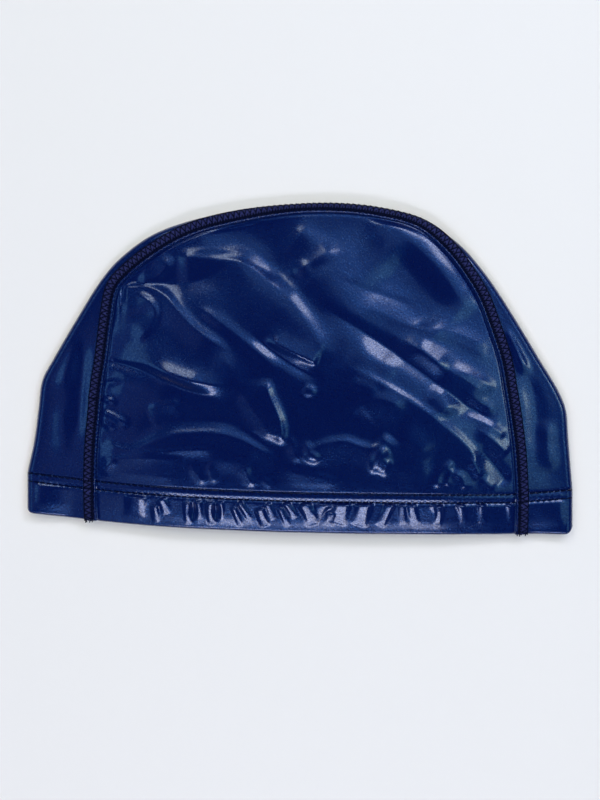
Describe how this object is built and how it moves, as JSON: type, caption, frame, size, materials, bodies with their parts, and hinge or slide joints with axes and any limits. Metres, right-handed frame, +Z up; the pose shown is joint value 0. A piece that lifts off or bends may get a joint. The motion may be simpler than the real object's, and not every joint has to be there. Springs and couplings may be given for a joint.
{
  "type": "swim cap",
  "caption": "Coated cloth swim cap lying flat on its side, with side panels, a folded centre strip, raised seams, a turned-up hem and an open mouth.",
  "frame": {"origin": "centre of the underside's bounding box, on the surface that the cap lies on", "axes": "+Z up from that surface, +X along the mouth, +Y from the mouth to the crown"},
  "size_m": [0.23, 0.14, 0.0158],
  "materials": {
    "coated_cloth": "glossy coated knit, navy blue",
    "seam_thread": "matt dark navy sewing thread"
  },
  "bodies": {
    "root": {"near_side_panel": "coated_cloth", "far_side_panel": "coated_cloth", "centre_strip": "coated_cloth", "hem_band": "coated_cloth", "near_seam": "seam_thread", "far_seam": "seam_thread"}
  },
  "joints": []
}
